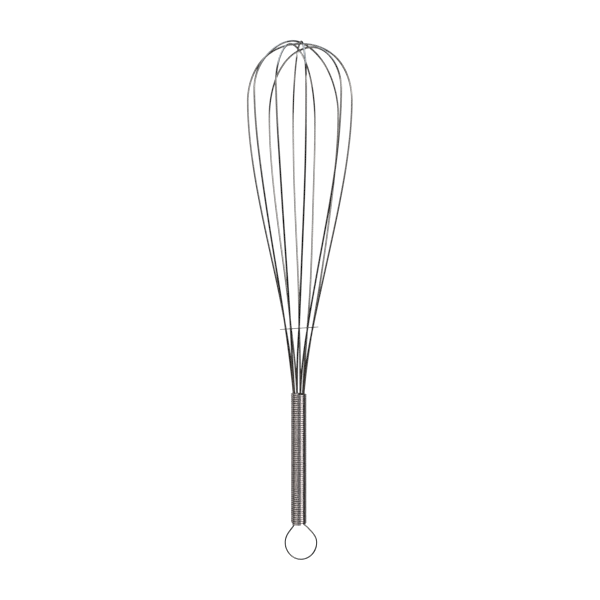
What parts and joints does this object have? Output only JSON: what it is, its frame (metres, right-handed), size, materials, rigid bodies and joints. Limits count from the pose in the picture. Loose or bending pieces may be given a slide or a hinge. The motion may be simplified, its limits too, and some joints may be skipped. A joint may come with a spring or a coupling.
{
  "type": "balloon whisk",
  "caption": "Long stainless steel balloon whisk of crossing wire loops through a thin spacer disc, with a wire-wound grip and a wire hanging loop.",
  "frame": {"origin": "on the whisk's axis at half the grip's length, where a hand holds it", "axes": "+Z along the whisk's axis from the grip to the balloon; the hanging loop lies in the XZ plane; +Y points away from the side that the picture shows"},
  "size_m": [0.1013, 0.1008, 0.4991],
  "materials": {
    "balloon_wire": "bright drawn stainless spring wire, polished, with fine scratches along the wire",
    "disc_steel": "satin stainless sheet with fine turned marks",
    "grip_wire": "bright drawn stainless wire, wound, slightly duller in the grooves between turns",
    "core_steel": "plain mill finish steel tube",
    "loop_wire": "bright bent stainless wire, faintly heat tinted where it is tacked to the winding"
  },
  "bodies": {
    "root": {"balloon_wire_1": "balloon_wire", "balloon_wire_2": "balloon_wire", "balloon_wire_3": "balloon_wire", "balloon_wire_4": "balloon_wire", "balloon_wire_5": "balloon_wire", "spacer_disc": "disc_steel", "grip_coil": "grip_wire", "core_tube": "core_steel", "hanging_loop": "loop_wire"}
  },
  "joints": []
}
